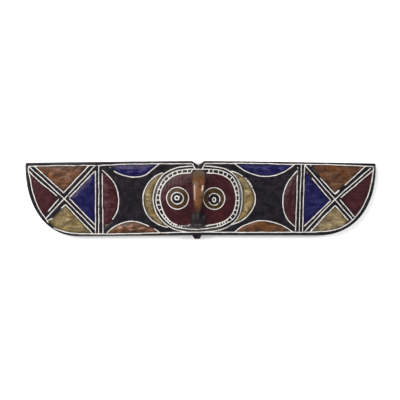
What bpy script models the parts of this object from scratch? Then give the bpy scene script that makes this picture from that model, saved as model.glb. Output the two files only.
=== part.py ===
"""A long wooden mask with two wings, carved and painted in one piece, lying on its back.

+X runs to the right as the mask is looked at, +Y towards its top edge, and +Z out of the
carved front. The origin is under the middle of the mask, on its flat back. Metres.
"""

import math

import bmesh
import bpy
from mathutils import Vector

LEFT = -1
RIGHT = 1

# Board

SPAN = 0.610  # tip to tip
BOARD_HIGH = 0.1298  # lower edge to the top edge, at the middle
BOARD_THICK = 0.016
EDGE_ROUND = 0.0025  # worn arris all round
TOP_FALL = {LEFT: 0.0032, RIGHT: 0.0044}  # fall of the top edge from the middle to the tip
LOW_SAG = {LEFT: 0.0016, RIGHT: 0.0002}  # how much lower the wing hangs than the middle
CORNER_WIDE = {LEFT: 0.094, RIGHT: 0.1045}  # round lower corner, measured along the edge
CORNER_POWER = {LEFT: 2.2, RIGHT: 2.3}  # 2 is an ellipse, more is squarer
TIP_BLUNT = 0.0018  # short square end over each round corner
CORNER_STEPS = 12

# Notch in the top edge and tab under the lower one

FACE_X = -0.0044  # the face was laid out a little left of the middle of the board
NOTCH_WIDE = 0.0208
NOTCH_DEEP = 0.0075
TAB_WIDE = 0.0165
TAB_END_WIDE = 0.0086
TAB_LONG = 0.0064
TAB_SHIFT = -0.0018  # tab to the left of the face's middle

# Face

FACE_Y = 0.0021
FACE_WIDE = 0.155
FACE_HIGH = 0.114
FACE_POWER = 2.6
FACE_RISE = 0.012  # top of the low dome over the board
FACE_STEPS = 36
FACE_EDGE = 0.62  # under 1 the dome's edge is steep, 1 is a straight slope
HOLLOW_WIDE = 0.112  # scooped hollow behind the face
HOLLOW_HIGH = 0.082
HOLLOW_DEEP = 0.017

# Beak and mouth

BEAK_TOP = 0.0522
BEAK_TIP = -0.0300
BEAK_SHIFT = 0.0012  # beak to the right of the face's middle
BEAK_WIDE = 0.0236  # at the brow
BEAK_RISE = 0.018  # ridge over the face, at its highest
BEAK_ROOT = 0.002  # beak and mouth start this far inside the face
BEAK_WIDTHS = (1.0, 1.0, 0.97, 0.90, 0.80, 0.62, 0.47, 0.36, 0.24)  # shares of the width, brow to tip
BEAK_RISES = (0.12, 0.38, 0.62, 0.82, 0.95, 1.0, 0.95, 0.80, 0.52)  # shares of the rise, brow to tip
MOUTH_Y = -0.0360
MOUTH_WIDE = 0.0262
MOUTH_HIGH = 0.0270
MOUTH_RISE = 0.009

# Gouged lines

LINE_WIDE = 0.0034
LINE_DEEP = 0.0013
LINE_CLEAR = 0.0030  # the cut is open this far over the board, past the shoulders of the panels
LINE_SHY = 0.00011  # each kind of line is cut this much shallower than the one it runs into
BORDER = {LEFT: 0.0052, RIGHT: 0.0066}  # from the board's edge in to the border line
BORDER_TOP = 0.0049
BORDER_LOW = 0.0056

# Rings of the face, as distances in from the edge of the dome

LADDER_OUT = 0.0051
LADDER_IN = 0.0112
RUNGS = 40
EYE_X = {LEFT: -0.0354, RIGHT: 0.0278}  # from the face's middle
EYE_Y = 0.0028
EYE_RADII = (0.0190, 0.0100, 0.0043)

# Wings: three upright lines, then a cross in the field out to the tip

UPRIGHT_X = {LEFT: 0.1828, RIGHT: 0.1802}  # the outermost of the three
UPRIGHT_GAP = 0.0064
CROSS_X = {LEFT: 0.2373, RIGHT: 0.2336}
CROSS_Y = {LEFT: 0.0031, RIGHT: 0.0010}
ARM_GAP = 0.0078  # middle line of an arm to its outer lines

# Rounded panels

PANEL_RISE = 0.0026
FIELD_RISE = 0.0016
PANEL_SINK = 0.0005  # a panel's edge starts this far under the board's face
FORM_ROOT = 0.004  # how far the raised forms reach down into the board

# Lens panels on the borders: middle, half length and depth
LENS_TOP = {LEFT: (-0.1146, 0.0430, 0.0226), RIGHT: (0.1109, 0.0515, 0.0225)}
LENS_LOW = {LEFT: (-0.1170, 0.0459, 0.0212), RIGHT: (0.1102, 0.0499, 0.0197)}
# Half lens beside the upright lines: middle, half length and depth
LENS_SIDE = {LEFT: (0.0017, 0.0505, 0.0284), RIGHT: (0.0017, 0.0487, 0.0249)}
# Crescents beside the face: the reach of the outer curve from the face's middle, and half its height
CRESCENT_REACH = {LEFT: 0.0960, RIGHT: 0.0995}
CRESCENT_HALF = 0.0468
CRESCENT_START = 0.0560  # the curve's own middle, from the face's middle
CRESCENT_PART = 0.90  # share of the outer curve that bounds the panel
CRESCENT_SINK = 0.0008  # how far the panel runs in under the dome

TOP_Y = (BOARD_HIGH + TAB_LONG) / 2
LOW_Y = TOP_Y - BOARD_HIGH


def side_of(x):
    return LEFT if x < 0 else RIGHT


def top_y(x):
    """The top edge, which bows down a little towards both tips."""
    share = abs(x) / (SPAN / 2)
    return TOP_Y - TOP_FALL[side_of(x)] * share ** 1.3


def low_y(x):
    """The lower edge, which hangs a little towards the wings."""
    start = SPAN / 2 - CORNER_WIDE[side_of(x)]
    return LOW_Y - LOW_SAG[side_of(x)] * min(1, abs(x) / start)


def corner(side, inset=0.0, top_inset=0.0, low_inset=0.0):
    """The tip's square end and round corner: where they start, and their width and height."""
    tip = SPAN / 2 - inset
    start_y = top_y(side * tip) - max(TIP_BLUNT, top_inset)
    wide = CORNER_WIDE[side] - inset
    high = start_y - low_y(side * SPAN / 2) - low_inset
    return tip, start_y, wide, high


def corner_points(side, **insets):
    """Superellipse from the tip down to the lower edge."""
    tip, start_y, wide, high = corner(side, **insets)
    power = 2 / CORNER_POWER[side]
    points = []
    for step in range(CORNER_STEPS + 1):
        turn = math.pi / 2 * step / CORNER_STEPS
        x = tip - wide * (1 - max(0.0, math.cos(turn)) ** power)
        points.append((side * x, start_y - high * math.sin(turn) ** power))
    return points


def inside_border(x, y):
    """True inside the border line."""
    side = side_of(x)
    tip, start_y, wide, high = corner(
        side, inset=BORDER[side], top_inset=BORDER_TOP, low_inset=BORDER_LOW
    )
    if y > top_y(x) - BORDER_TOP or y < low_y(x) + BORDER_LOW or abs(x) > tip:
        return False
    along = (abs(x) - (tip - wide)) / wide
    down = (start_y - y) / high
    if along <= 0 or down <= 0:
        return True
    return along ** CORNER_POWER[side] + down ** CORNER_POWER[side] <= 1


def reach(start, direction, is_inside):
    """The point where a straight line from start leaves the region."""
    near, far = 0.0, SPAN
    for _ in range(40):
        middle = (near + far) / 2
        if is_inside(start[0] + direction[0] * middle, start[1] + direction[1] * middle):
            near = middle
        else:
            far = middle
    return (start[0] + direction[0] * near, start[1] + direction[1] * near)


def face_share(x, y):
    """0 at the middle of the face, 1 on the edge of its dome."""
    along = abs(x - FACE_X) / (FACE_WIDE / 2)
    up = abs(y - FACE_Y) / (FACE_HIGH / 2)
    return (along ** FACE_POWER + up ** FACE_POWER) ** (1 / FACE_POWER)


def dome_rise(share):
    return FACE_RISE * max(0.0, 1 - share ** 2.2) ** FACE_EDGE


def front(x, y):
    """Height of the carved front without its panels, beak and mouth."""
    return BOARD_THICK + dome_rise(face_share(x, y))


def face_point(turn, inset=0.0):
    """A point on the superellipse that lies a distance in from the dome's edge."""
    cos_turn, sin_turn = math.cos(turn), math.sin(turn)
    power = 2 / FACE_POWER
    x = math.copysign(abs(cos_turn) ** power, cos_turn) * (FACE_WIDE / 2 - inset)
    y = math.copysign(abs(sin_turn) ** power, sin_turn) * (FACE_HIGH / 2 - inset)
    return FACE_X + x, FACE_Y + y


def clear_scene():
    for old in list(bpy.data.objects):
        bpy.data.objects.remove(old)
    for old in list(bpy.data.collections):
        bpy.data.collections.remove(old)


def new_collection(name):
    made = bpy.data.collections.new(name)
    bpy.context.scene.collection.children.link(made)
    return made


def paint():
    material = bpy.data.materials.new("painted_wood")
    material.use_nodes = True
    shader = material.node_tree.nodes["Principled BSDF"]
    shader.inputs["Base Color"].default_value = (0.075, 0.032, 0.030, 1)
    shader.inputs["Roughness"].default_value = 0.45
    shader.inputs["Metallic"].default_value = 0.0
    return material


def as_mesh(made, collection):
    """The curve as a mesh with its caps welded; the curve goes."""
    bpy.context.view_layer.update()
    shape = made.evaluated_get(bpy.context.evaluated_depsgraph_get())
    mesh = bpy.data.meshes.new_from_object(shape)
    solid = bpy.data.objects.new(made.name, mesh)
    solid.matrix_world = made.matrix_world
    name = made.name
    bpy.data.objects.remove(made)
    solid.name = name
    collection.objects.link(solid)
    work = bmesh.new()
    work.from_mesh(mesh)
    bmesh.ops.remove_doubles(work, verts=work.verts, dist=0.00001)
    bmesh.ops.recalc_face_normals(work, faces=work.faces)
    work.to_mesh(mesh)
    work.free()
    return solid


def guide(solid):
    """A shape that only joins or cuts another."""
    solid.hide_render = True
    solid.display_type = "WIRE"
    return solid


def plate(name, outline, thick, collection):
    """A flat outline with thickness, standing on z = 0."""
    data = bpy.data.curves.new(name, "CURVE")
    data.dimensions = "2D"
    data.fill_mode = "BOTH"
    data.extrude = thick / 2
    spline = data.splines.new("POLY")
    spline.points.add(len(outline) - 1)
    for point, place in zip(spline.points, outline):
        point.co = (place[0], place[1], 0, 1)
    spline.use_cyclic_u = True
    made = bpy.data.objects.new(name, data)
    made.location.z = thick / 2
    collection.objects.link(made)
    return as_mesh(made, collection)


def shell(name, place, along, across, floor, collection):
    """A grid laid over place(t, v) with t and v from 0 to 1, closed by a flat floor."""
    work = bmesh.new()
    bmesh.ops.create_grid(work, x_segments=along, y_segments=across, size=0.5)
    for vertex in work.verts:
        vertex.co = place(vertex.co.x + 0.5, vertex.co.y + 0.5)
    lower = bmesh.ops.extrude_face_region(work, geom=work.faces[:], use_keep_orig=True)
    for item in lower["geom"]:
        if isinstance(item, bmesh.types.BMVert):
            item.co.z = floor
    bmesh.ops.remove_doubles(work, verts=work.verts, dist=0.00001)
    bmesh.ops.recalc_face_normals(work, faces=work.faces)
    mesh = bpy.data.meshes.new(name)
    work.to_mesh(mesh)
    work.free()
    made = bpy.data.objects.new(name, mesh)
    collection.objects.link(made)
    return guide(made)


def swell(share):
    """Rounded shoulders: 0 at both ends, 1 in the middle."""
    return max(0.0, 1 - abs(2 * share - 1) ** 2.6)


def panel(name, plan, rise, along, across, collection):
    """A rounded panel over plan(t, v)."""

    def place(t, v):
        x, y = plan(t, v)
        lengthwise = min(1.0, swell(t) * 1.15)
        height = rise * lengthwise ** 0.6 * swell(v) ** 0.6
        return Vector((x, y, BOARD_THICK - PANEL_SINK + height))

    return shell(name, place, along, across, BOARD_THICK - FORM_ROOT, collection)


def knife_profile(collection):
    """Section of a gouged line: a V in the surface, with steep sides over it."""
    data = bpy.data.curves.new("line_section", "CURVE")
    data.dimensions = "2D"
    spline = data.splines.new("POLY")
    half = LINE_WIDE / 2
    section = (
        (-half * 1.2, LINE_CLEAR),
        (-half, 0),
        (0, -LINE_DEEP),
        (half, 0),
        (half * 1.2, LINE_CLEAR),
    )
    spline.points.add(len(section) - 1)
    for point, place in zip(spline.points, section):
        point.co = (place[0], place[1], 0, 1)
    spline.use_cyclic_u = True
    made = bpy.data.objects.new("line_section", data)
    collection.objects.link(made)
    return guide(made)


def gouge(name, points, section, collection, closed=False, order=0):
    """Cutter for one gouged line along points on the front, shallower for a later order."""
    data = bpy.data.curves.new(name, "CURVE")
    data.dimensions = "3D"
    data.twist_mode = "Z_UP"
    data.bevel_mode = "OBJECT"
    data.bevel_object = section
    data.use_fill_caps = True
    spline = data.splines.new("POLY")
    spline.points.add(len(points) - 1)
    for point, (x, y) in zip(spline.points, points):
        point.co = (x, y, front(x, y) + LINE_SHY * order, 1)
    spline.use_cyclic_u = closed
    made = bpy.data.objects.new(name, data)
    collection.objects.link(made)
    return guide(as_mesh(made, collection))


def board(collection):
    """The blank: both wings with the notch and the tab."""
    half_notch = NOTCH_WIDE / 2
    tab_x = FACE_X + TAB_SHIFT
    outline = []
    for share in (1.0, 0.75, 0.5, 0.25):
        x = -share * (SPAN / 2 - TIP_BLUNT)
        outline.append((x, top_y(x)))
    outline += [
        (FACE_X - half_notch, TOP_Y),
        (FACE_X, TOP_Y - NOTCH_DEEP),
        (FACE_X + half_notch, TOP_Y),
    ]
    for share in (0.25, 0.5, 0.75, 1.0):
        x = share * (SPAN / 2 - TIP_BLUNT)
        outline.append((x, top_y(x)))
    outline += corner_points(RIGHT)
    outline += [
        (tab_x + TAB_WIDE / 2, LOW_Y),
        (tab_x + TAB_END_WIDE / 2, LOW_Y - TAB_LONG),
        (tab_x - TAB_END_WIDE / 2, LOW_Y - TAB_LONG),
        (tab_x - TAB_WIDE / 2, LOW_Y),
    ]
    outline += reversed(corner_points(LEFT))
    made = plate("mask", outline, BOARD_THICK, collection)
    rounding = made.modifiers.new("worn arris", "BEVEL")
    rounding.width = EDGE_ROUND
    rounding.segments = 2
    rounding.limit_method = "ANGLE"
    rounding.angle_limit = math.radians(50)
    return made


def face(collection):
    """The low dome, turned round as a sphere and then drawn out to the face's plan."""
    work = bmesh.new()
    bmesh.ops.create_uvsphere(work, u_segments=FACE_STEPS, v_segments=14, radius=1.0)
    for vertex in work.verts:
        turn = math.atan2(vertex.co.y, vertex.co.x)
        out = math.hypot(vertex.co.x, vertex.co.y)
        edge_x, edge_y = face_point(turn)
        x = FACE_X + (edge_x - FACE_X) * out
        y = FACE_Y + (edge_y - FACE_Y) * out
        if vertex.co.z > -0.01:
            vertex.co = (x, y, front(x, y) - PANEL_SINK)
        else:
            vertex.co = (x, y, BOARD_THICK - FORM_ROOT + FORM_ROOT / 2 * vertex.co.z)
    bmesh.ops.recalc_face_normals(work, faces=work.faces)
    mesh = bpy.data.meshes.new("face")
    work.to_mesh(mesh)
    work.free()
    made = bpy.data.objects.new("face", mesh)
    collection.objects.link(made)
    return guide(made)


def ball(name, centre, half_sizes, collection, segments=16, rings=8):
    """An ellipsoid from the sphere primitive."""
    work = bmesh.new()
    bmesh.ops.create_uvsphere(work, u_segments=segments, v_segments=rings, radius=1.0)
    bmesh.ops.scale(work, vec=half_sizes, verts=work.verts)
    bmesh.ops.translate(work, vec=centre, verts=work.verts)
    mesh = bpy.data.meshes.new(name)
    work.to_mesh(mesh)
    work.free()
    made = bpy.data.objects.new(name, mesh)
    collection.objects.link(made)
    return guide(made)


def between(values, share):
    """Straight interpolation in an evenly spaced row of values."""
    place = min(max(share, 0.0), 1.0) * (len(values) - 1)
    first = min(int(place), len(values) - 2)
    return values[first] + (values[first + 1] - values[first]) * (place - first)


def beak(collection):
    """Rises from the brow, narrows downwards and hooks over the mouth."""
    middle = FACE_X + BEAK_SHIFT

    def place(t, v):
        y = BEAK_TOP + (BEAK_TIP - BEAK_TOP) * t
        half = BEAK_WIDE / 2 * between(BEAK_WIDTHS, t)
        x = middle + (2 * v - 1) * half
        ridge = BEAK_RISE * between(BEAK_RISES, t)
        foot = front(middle, y) - BEAK_ROOT
        return Vector((x, y, foot + (ridge + BEAK_ROOT) * (1 - (2 * v - 1) ** 2) ** 0.8))

    return shell("beak", place, 12, 6, BOARD_THICK, collection)


def mouth(collection):
    centre = (FACE_X + BEAK_SHIFT, MOUTH_Y, front(FACE_X, MOUTH_Y) - BEAK_ROOT)
    half_sizes = (MOUTH_WIDE / 2, MOUTH_HIGH / 2, MOUTH_RISE + BEAK_ROOT)
    return ball("mouth", centre, half_sizes, collection)


def lens_plan(middle, half, depth, base_y, towards):
    """Between a border line and the circular arc that hangs from it."""

    def plan(t, v):
        share = 2 * t - 1
        arc = circle_drop(share * half, half, depth)
        x = middle + share * half
        base = base_y(x)
        return x, base + towards * arc * v

    return plan


def circle_drop(offset, half, depth):
    """Height of a circular segment over its chord."""
    radius = (half * half + depth * depth) / (2 * depth)
    return math.sqrt(max(0.0, radius * radius - offset * offset)) - (radius - depth)


def lens_line(middle, half, depth, base_y, towards, steps=10):
    points = []
    for step in range(steps + 1):
        offset = half * (2 * step / steps - 1)
        x = middle + offset
        points.append((x, base_y(x) + towards * circle_drop(offset, half, depth)))
    return points


def border_top(x):
    return top_y(x) - BORDER_TOP


def border_low(x):
    return low_y(x) + BORDER_LOW


def crescent_curve(side, turn):
    """Outer curve of a crescent, from its upper end at -90 degrees to its lower end at 90."""
    reach_out = CRESCENT_REACH[side] - CRESCENT_START
    x = FACE_X + side * (CRESCENT_START + reach_out * math.cos(turn))
    return x, FACE_Y / 2 - CRESCENT_HALF * math.sin(turn)


def face_edge_x(side, y):
    """The dome's edge on one side, at a height on the face."""
    up = min(1.0, abs(y - FACE_Y) / (FACE_HIGH / 2))
    return FACE_X + side * FACE_WIDE / 2 * (1 - up ** FACE_POWER) ** (1 / FACE_POWER)


def crescent_plan(side):
    """From a little under the edge of the dome out to the outer curve, level by level."""

    def plan(t, v):
        outer_x, y = crescent_curve(side, math.pi * (t - 0.5) * CRESCENT_PART)
        inner_x = face_edge_x(side, y) - side * CRESCENT_SINK
        return inner_x + (outer_x - inner_x) * v, y

    return plan


def unit(vector):
    length = math.hypot(vector[0], vector[1])
    return (vector[0] / length, vector[1] / length)


def cross_arms(side):
    """Directions of the four half arms of a wing's cross, in turn round its middle."""
    centre = (side * CROSS_X[side], CROSS_Y[side])
    tip, start_y, _, _ = corner(
        side, inset=BORDER[side], top_inset=BORDER_TOP, low_inset=BORDER_LOW
    )
    inner_x = side * UPRIGHT_X[side]
    ends = {
        "inner top": (inner_x, border_top(inner_x)),
        "outer top": (side * tip, start_y),
        "inner low": (inner_x, border_low(inner_x)),
    }
    arms = {}
    for name, end in ends.items():
        arms[name] = unit((end[0] - centre[0], end[1] - centre[1]))
    arms["outer low"] = (-arms["inner top"][0], -arms["inner top"][1])
    return centre, arms


def wing_field(side):
    """Region of a wing's cross: inside the border and outside the upright lines."""

    def is_inside(x, y):
        return inside_border(x, y) and side * x > UPRIGHT_X[side]

    return is_inside


def wing_quarters(side):
    """Each quarter between two arms: its point and the directions of its two sides."""
    centre, arms = cross_arms(side)
    order = ("inner top", "outer top", "outer low", "inner low")
    quarters = []
    for index, name in enumerate(order):
        first = arms[name]
        second = arms[order[(index + 1) % 4]]
        middle = unit((first[0] + second[0], first[1] + second[1]))
        half_angle = math.acos(first[0] * middle[0] + first[1] * middle[1])
        back = ARM_GAP / math.sin(half_angle)
        apex = (centre[0] + middle[0] * back, centre[1] + middle[1] * back)
        quarters.append((apex, first, second))
    return quarters


def quarter_plan(side, apex, first, second):
    is_inside = wing_field(side)

    def plan(t, v):
        direction = unit(
            (first[0] + (second[0] - first[0]) * v, first[1] + (second[1] - first[1]) * v)
        )
        end = reach(apex, direction, is_inside)
        return apex[0] + (end[0] - apex[0]) * t, apex[1] + (end[1] - apex[1]) * t

    return plan


def wing_forms(side, collection):
    name = "left" if side == LEFT else "right"
    for number, (apex, first, second) in enumerate(wing_quarters(side)):
        plan = quarter_plan(side, apex, first, second)
        panel(f"{name}_field_{number}", plan, FIELD_RISE, 4, 5, collection)
    for place, sizes, base_y, towards in (
        ("top", LENS_TOP[side], border_top, -1),
        ("low", LENS_LOW[side], border_low, 1),
    ):
        plan = lens_plan(*sizes, base_y, towards)
        panel(f"{name}_lens_{place}", plan, PANEL_RISE, 10, 4, collection)
    middle, half, depth = LENS_SIDE[side]
    edge_x = side * (UPRIGHT_X[side] - 2 * UPRIGHT_GAP)

    def half_lens(t, v):
        offset = half * (2 * t - 1)
        return edge_x - side * circle_drop(offset, half, depth) * v, middle + offset

    panel(f"{name}_half_lens", half_lens, PANEL_RISE, 10, 4, collection)
    panel(f"{name}_crescent", crescent_plan(side), PANEL_RISE, 12, 4, collection)


def wing_lines(side, section, collection):
    name = "left" if side == LEFT else "right"
    for number in range(3):
        x = side * (UPRIGHT_X[side] - number * UPRIGHT_GAP)
        points = [(x, border_top(x)), (x, border_low(x))]
        gouge(f"{name}_upright_{number}", points, section, collection, order=1)
    centre, arms = cross_arms(side)
    is_inside = wing_field(side)
    for start, end in (("inner top", "outer low"), ("outer top", "inner low")):
        points = [reach(centre, arms[start], is_inside), reach(centre, arms[end], is_inside)]
        order = 2 if start == "inner top" else 3
        gouge(f"{name}_arm_{start}", points, section, collection, order=order)
    for number, (apex, first, second) in enumerate(wing_quarters(side)):
        points = [reach(apex, first, is_inside), apex, reach(apex, second, is_inside)]
        gouge(f"{name}_quarter_{number}", points, section, collection, order=4)
    points = lens_line(*LENS_TOP[side], border_top, -1)
    gouge(f"{name}_lens_top", points, section, collection, order=2)
    points = lens_line(*LENS_LOW[side], border_low, 1)
    gouge(f"{name}_lens_low", points, section, collection, order=2)
    middle, half, depth = LENS_SIDE[side]
    edge_x = side * (UPRIGHT_X[side] - 2 * UPRIGHT_GAP)
    points = []
    for step in range(11):
        offset = half * (2 * step / 10 - 1)
        points.append((edge_x - side * circle_drop(offset, half, depth), middle + offset))
    gouge(f"{name}_half_lens", points, section, collection, order=3)
    points = [crescent_curve(side, math.pi * (step / 12 - 0.5)) for step in range(13)]
    gouge(f"{name}_crescent", points, section, collection, order=2)


def border_line(section, collection):
    """Runs round the whole board, and down and up beside the notch."""
    half_notch = NOTCH_WIDE / 2
    points = []
    for side in (LEFT, RIGHT):
        x = FACE_X + side * half_notch
        inner = (FACE_X + side * half_notch * 0.3, TOP_Y - NOTCH_DEEP - 0.0062)
        start = [inner, (x, border_top(x))]
        insets = {"inset": BORDER[side], "top_inset": BORDER_TOP, "low_inset": BORDER_LOW}
        tip = side * (SPAN / 2 - BORDER[side])
        run = start + [(side * SPAN / 4, border_top(side * SPAN / 4)), (tip, border_top(tip))]
        run += corner_points(side, **insets)[1:]
        points += reversed(run) if side == LEFT else run
    gouge("border", points, section, collection, closed=True)


def beside_beak(point):
    """True where neither the beak nor the mouth stands."""
    return abs(point[0] - FACE_X - BEAK_SHIFT) > max(BEAK_WIDE, MOUTH_WIDE) / 2 + LINE_WIDE / 2


def face_lines(section, collection):
    steps = FACE_STEPS
    for name, inset in (("edge", 0.0), ("ladder_out", LADDER_OUT)):
        points = [face_point(2 * math.pi * step / steps, inset) for step in range(steps)]
        gouge(f"face_{name}", points, section, collection, closed=True)
    for side in (LEFT, RIGHT):
        start = math.pi / 2 * (1 if side == LEFT else -1)
        turns = [start + math.pi * (step + 0.5) / steps for step in range(steps)]
        points = [face_point(turn, LADDER_IN) for turn in turns]
        points = [point for point in points if beside_beak(point)]
        gouge(f"face_ladder_in_{side}", points, section, collection)
    for rung in range(RUNGS):
        turn = 2 * math.pi * (rung + 0.5) / RUNGS
        points = [face_point(turn, LADDER_OUT), face_point(turn, LADDER_IN)]
        if beside_beak(points[1]):
            gouge(f"rung_{rung}", points, section, collection, order=1)
    for side in (LEFT, RIGHT):
        for number, radius in enumerate(EYE_RADII):
            count = (18, 12, 8)[number]
            points = []
            for step in range(count):
                turn = 2 * math.pi * step / count
                x = FACE_X + EYE_X[side] + radius * math.cos(turn)
                points.append((x, EYE_Y + radius * math.sin(turn)))
            gouge(f"eye_{side}_{number}", points, section, collection, closed=True)


def combine(body, operation, collection, name):
    change = body.modifiers.new(name, "BOOLEAN")
    change.operation = operation
    change.operand_type = "COLLECTION"
    change.collection = collection
    change.solver = "EXACT"


def build():
    clear_scene()
    pieces = new_collection("Bwa mask")
    forms = new_collection("Raised forms")
    hollows = new_collection("Hollows")
    lines = new_collection("Gouged lines")
    sections = new_collection("Sections")

    body = board(pieces)
    body.data.materials.append(paint())

    face(forms)
    beak(forms)
    mouth(forms)
    for side in (LEFT, RIGHT):
        wing_forms(side, forms)

    ball(
        "hollow",
        (FACE_X, FACE_Y, 0),
        (HOLLOW_WIDE / 2, HOLLOW_HIGH / 2, HOLLOW_DEEP),
        hollows,
        segments=24,
        rings=12,
    )

    section = knife_profile(sections)
    border_line(section, lines)
    face_lines(section, lines)
    for side in (LEFT, RIGHT):
        wing_lines(side, section, lines)

    combine(body, "UNION", forms, "raised forms")
    combine(body, "DIFFERENCE", hollows, "hollow")
    combine(body, "DIFFERENCE", lines, "gouged lines")


build()
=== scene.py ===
"""Looks of a long winged mask, carved from one board and painted, lying with its face up.

The drawing below is in millimetres, as the mask is looked at: x to the right, y towards the
notch in its top edge, z out of the carved front. Meshes are in metres.
"""

import math

import bpy
import numpy as np
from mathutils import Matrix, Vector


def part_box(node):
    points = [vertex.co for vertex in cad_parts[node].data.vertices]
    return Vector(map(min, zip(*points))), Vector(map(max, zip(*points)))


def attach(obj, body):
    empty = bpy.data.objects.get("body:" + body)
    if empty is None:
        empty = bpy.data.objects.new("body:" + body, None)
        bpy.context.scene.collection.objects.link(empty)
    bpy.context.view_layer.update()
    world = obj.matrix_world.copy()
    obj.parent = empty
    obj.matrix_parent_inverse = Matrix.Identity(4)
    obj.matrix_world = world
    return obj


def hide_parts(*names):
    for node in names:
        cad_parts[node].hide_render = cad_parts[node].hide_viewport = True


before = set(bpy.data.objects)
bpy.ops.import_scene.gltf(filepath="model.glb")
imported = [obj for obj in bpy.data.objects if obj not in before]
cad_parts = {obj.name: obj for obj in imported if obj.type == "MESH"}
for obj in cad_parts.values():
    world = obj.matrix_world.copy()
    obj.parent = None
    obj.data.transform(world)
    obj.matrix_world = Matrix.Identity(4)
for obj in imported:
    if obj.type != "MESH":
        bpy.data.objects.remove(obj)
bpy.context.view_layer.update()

MM = 0.001
LEFT = -1
RIGHT = 1
SIDES = (LEFT, RIGHT)

# The board, from the frame's box

LOW_CORNER, HIGH_CORNER = (np.array(corner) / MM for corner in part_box("mask"))
HALF_SPAN = float(HIGH_CORNER[0])
TOP_Y = float(HIGH_CORNER[1])
DEPTH = float(HIGH_CORNER[2])
TAB_LONG = 6.4
LOW_Y = float(LOW_CORNER[1]) + TAB_LONG
THICK = 16.0
EDGE_ROUND = 2.5
BACK_ROUND = 1.0
TOP_FALL = {LEFT: 3.2, RIGHT: 4.4}
LOW_SAG = {LEFT: 1.6, RIGHT: 0.2}
CORNER_WIDE = {LEFT: 94.0, RIGHT: 104.5}
CORNER_POWER = {LEFT: 2.2, RIGHT: 2.3}
CORNER_SPLIT = math.radians(45)  # where a round corner passes from the side to the foot
ARC_POINTS = 400
TIP_BLUNT = 1.8
FACE_X = -4.4
NOTCH_WIDE = 20.8
NOTCH_DEEP = 7.5
TAB_X = FACE_X - 1.8
TAB_WIDE = 16.5
TAB_END_WIDE = 8.6

# Face, beak, mouth and the scooped back

FACE_Y = 2.1
FACE_WIDE = 155.0
FACE_HIGH = 114.0
FACE_POWER = 2.6
FACE_RISE = 12.0
FACE_EDGE = 0.62
EYE_RISE = 0.9
HOLLOW_WIDE = 112.0
HOLLOW_HIGH = 82.0
HOLLOW_DEEP = 17.0
MOUTH = (-3.6, -35.7)
MOUTH_HALF = (12.6, 13.2)
MOUTH_RISE = 5.5
KNOB_FOOT = 0.05  # the mouth starts where it stands this high
BEAK_CLEAR = 0.4  # lines start to run out where the beak stands this high
MOUTH_CLEAR = 0.3
LINE_FADE = 0.8
# Beak from the brow down: y, left edge, right edge, share of the full rise
BEAK = (
    (52.2, -9.0, 3.0, 0.00),
    (50.6, -11.8, 5.8, 0.08),
    (48.4, -13.6, 7.5, 0.22),
    (45.2, -14.8, 8.6, 0.40),
    (41.0, -15.0, 8.8, 0.60),
    (36.0, -14.9, 8.6, 0.80),
    (31.0, -14.6, 8.2, 0.93),
    (25.0, -14.3, 7.6, 0.98),
    (17.0, -13.8, 6.6, 1.00),
    (8.0, -13.3, 5.4, 1.00),
    (-1.0, -12.6, 3.8, 0.98),
    (-9.5, -11.8, 2.2, 0.93),
    (-17.0, -10.7, 0.8, 0.87),
    (-24.0, -9.2, -0.6, 0.80),
    (-30.0, -8.0, -1.8, 0.70),
)
BEAK_BLACK_Y = -15.5  # the tip's black fades in below here
BROW_Y = 38.0  # and the brow's dark wash above here
BEAK_RISE = DEPTH - (THICK + FACE_RISE) - 0.2
BEAK_TIP_ROUND = 3.5
BEAK_UNEVEN = 0.3  # the beak is smoothed: this share of the front's unevenness
BEAK_SOFT = 17  # samples that the beak's outline and rise are eased over
BEVEL_FROM = 0.5  # share of the half width where the bevel starts
BEVEL_WIDE = 0.28
BEVEL_SLOPE = 0.49
RIDGE_CROWN = 0.16

# Mesh

ROWS = 112
END_COLUMNS = {LEFT: 88, RIGHT: 100}
MIDDLE_COLUMNS = 460
WING_STEP = 1.05
FACE_STEP = 0.8
BEAK_STEP = 0.5
BEAK_ZONE = 14.0  # the close columns reach this far to either side of the face's middle
FACE_ZONE = 84.0
SIDE_RINGS = (9.0, 5.0)  # heights of the rings between the two rounded edges
SIDE_LOW, SIDE_HIGH = 2.0, 13.0  # between these the side is a little uneven
BACK_SHARE = 4  # one point of the back for so many of the rim
BACK_INSET = 4.0
LEVEL_ROWS = 2  # the carving starts over so many rows from the front's edge

# Gouging and measuring

LINE_WIDE = 1.58
LINE_DEEP = 1.0
LINE_REACH = 3.2  # half widths from a line's middle within which its edge is worked out
NO_LINE = 9.0  # what stands for a place outside every line
PATH_STEP = 1.6
EASED_OVER = 13  # points that an arc is eased over
RUN = 10  # steps of a path that are measured together
# Hand work in a line: waves of its width and of its way, and its two ends
WIDTH_WAVE = 31.0
WIDTH_CHANGE = 0.13
SWAY_WAVE = 48.0
END_TAPER = 2.4
RING_JOIN = 6.0  # a closed line runs true this near its start
FIRST_SEED = 11
WIDTH_SEEDS = 500  # how far the widths' seeds lie from the ways'
# Unevenness left by the knife: height, shortest and longest wave, seed
FRONT_MARKS = ((0.1, 9, 34, 3), (0.045, 4, 9, 4))
SIDE_MARKS = ((0.12, 14, 60, 8),)
NEAR_OUTLINE = 5.0  # further out than this, a point is just far outside
FAR = 30.0  # what stands for far outside or inside
BATCH = 4000  # points measured at once


def way_along(curve):
    """How far along a curve each of its points lies."""
    return np.concatenate([[0], np.cumsum(np.hypot(*np.diff(curve, axis=0).T))])


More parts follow.
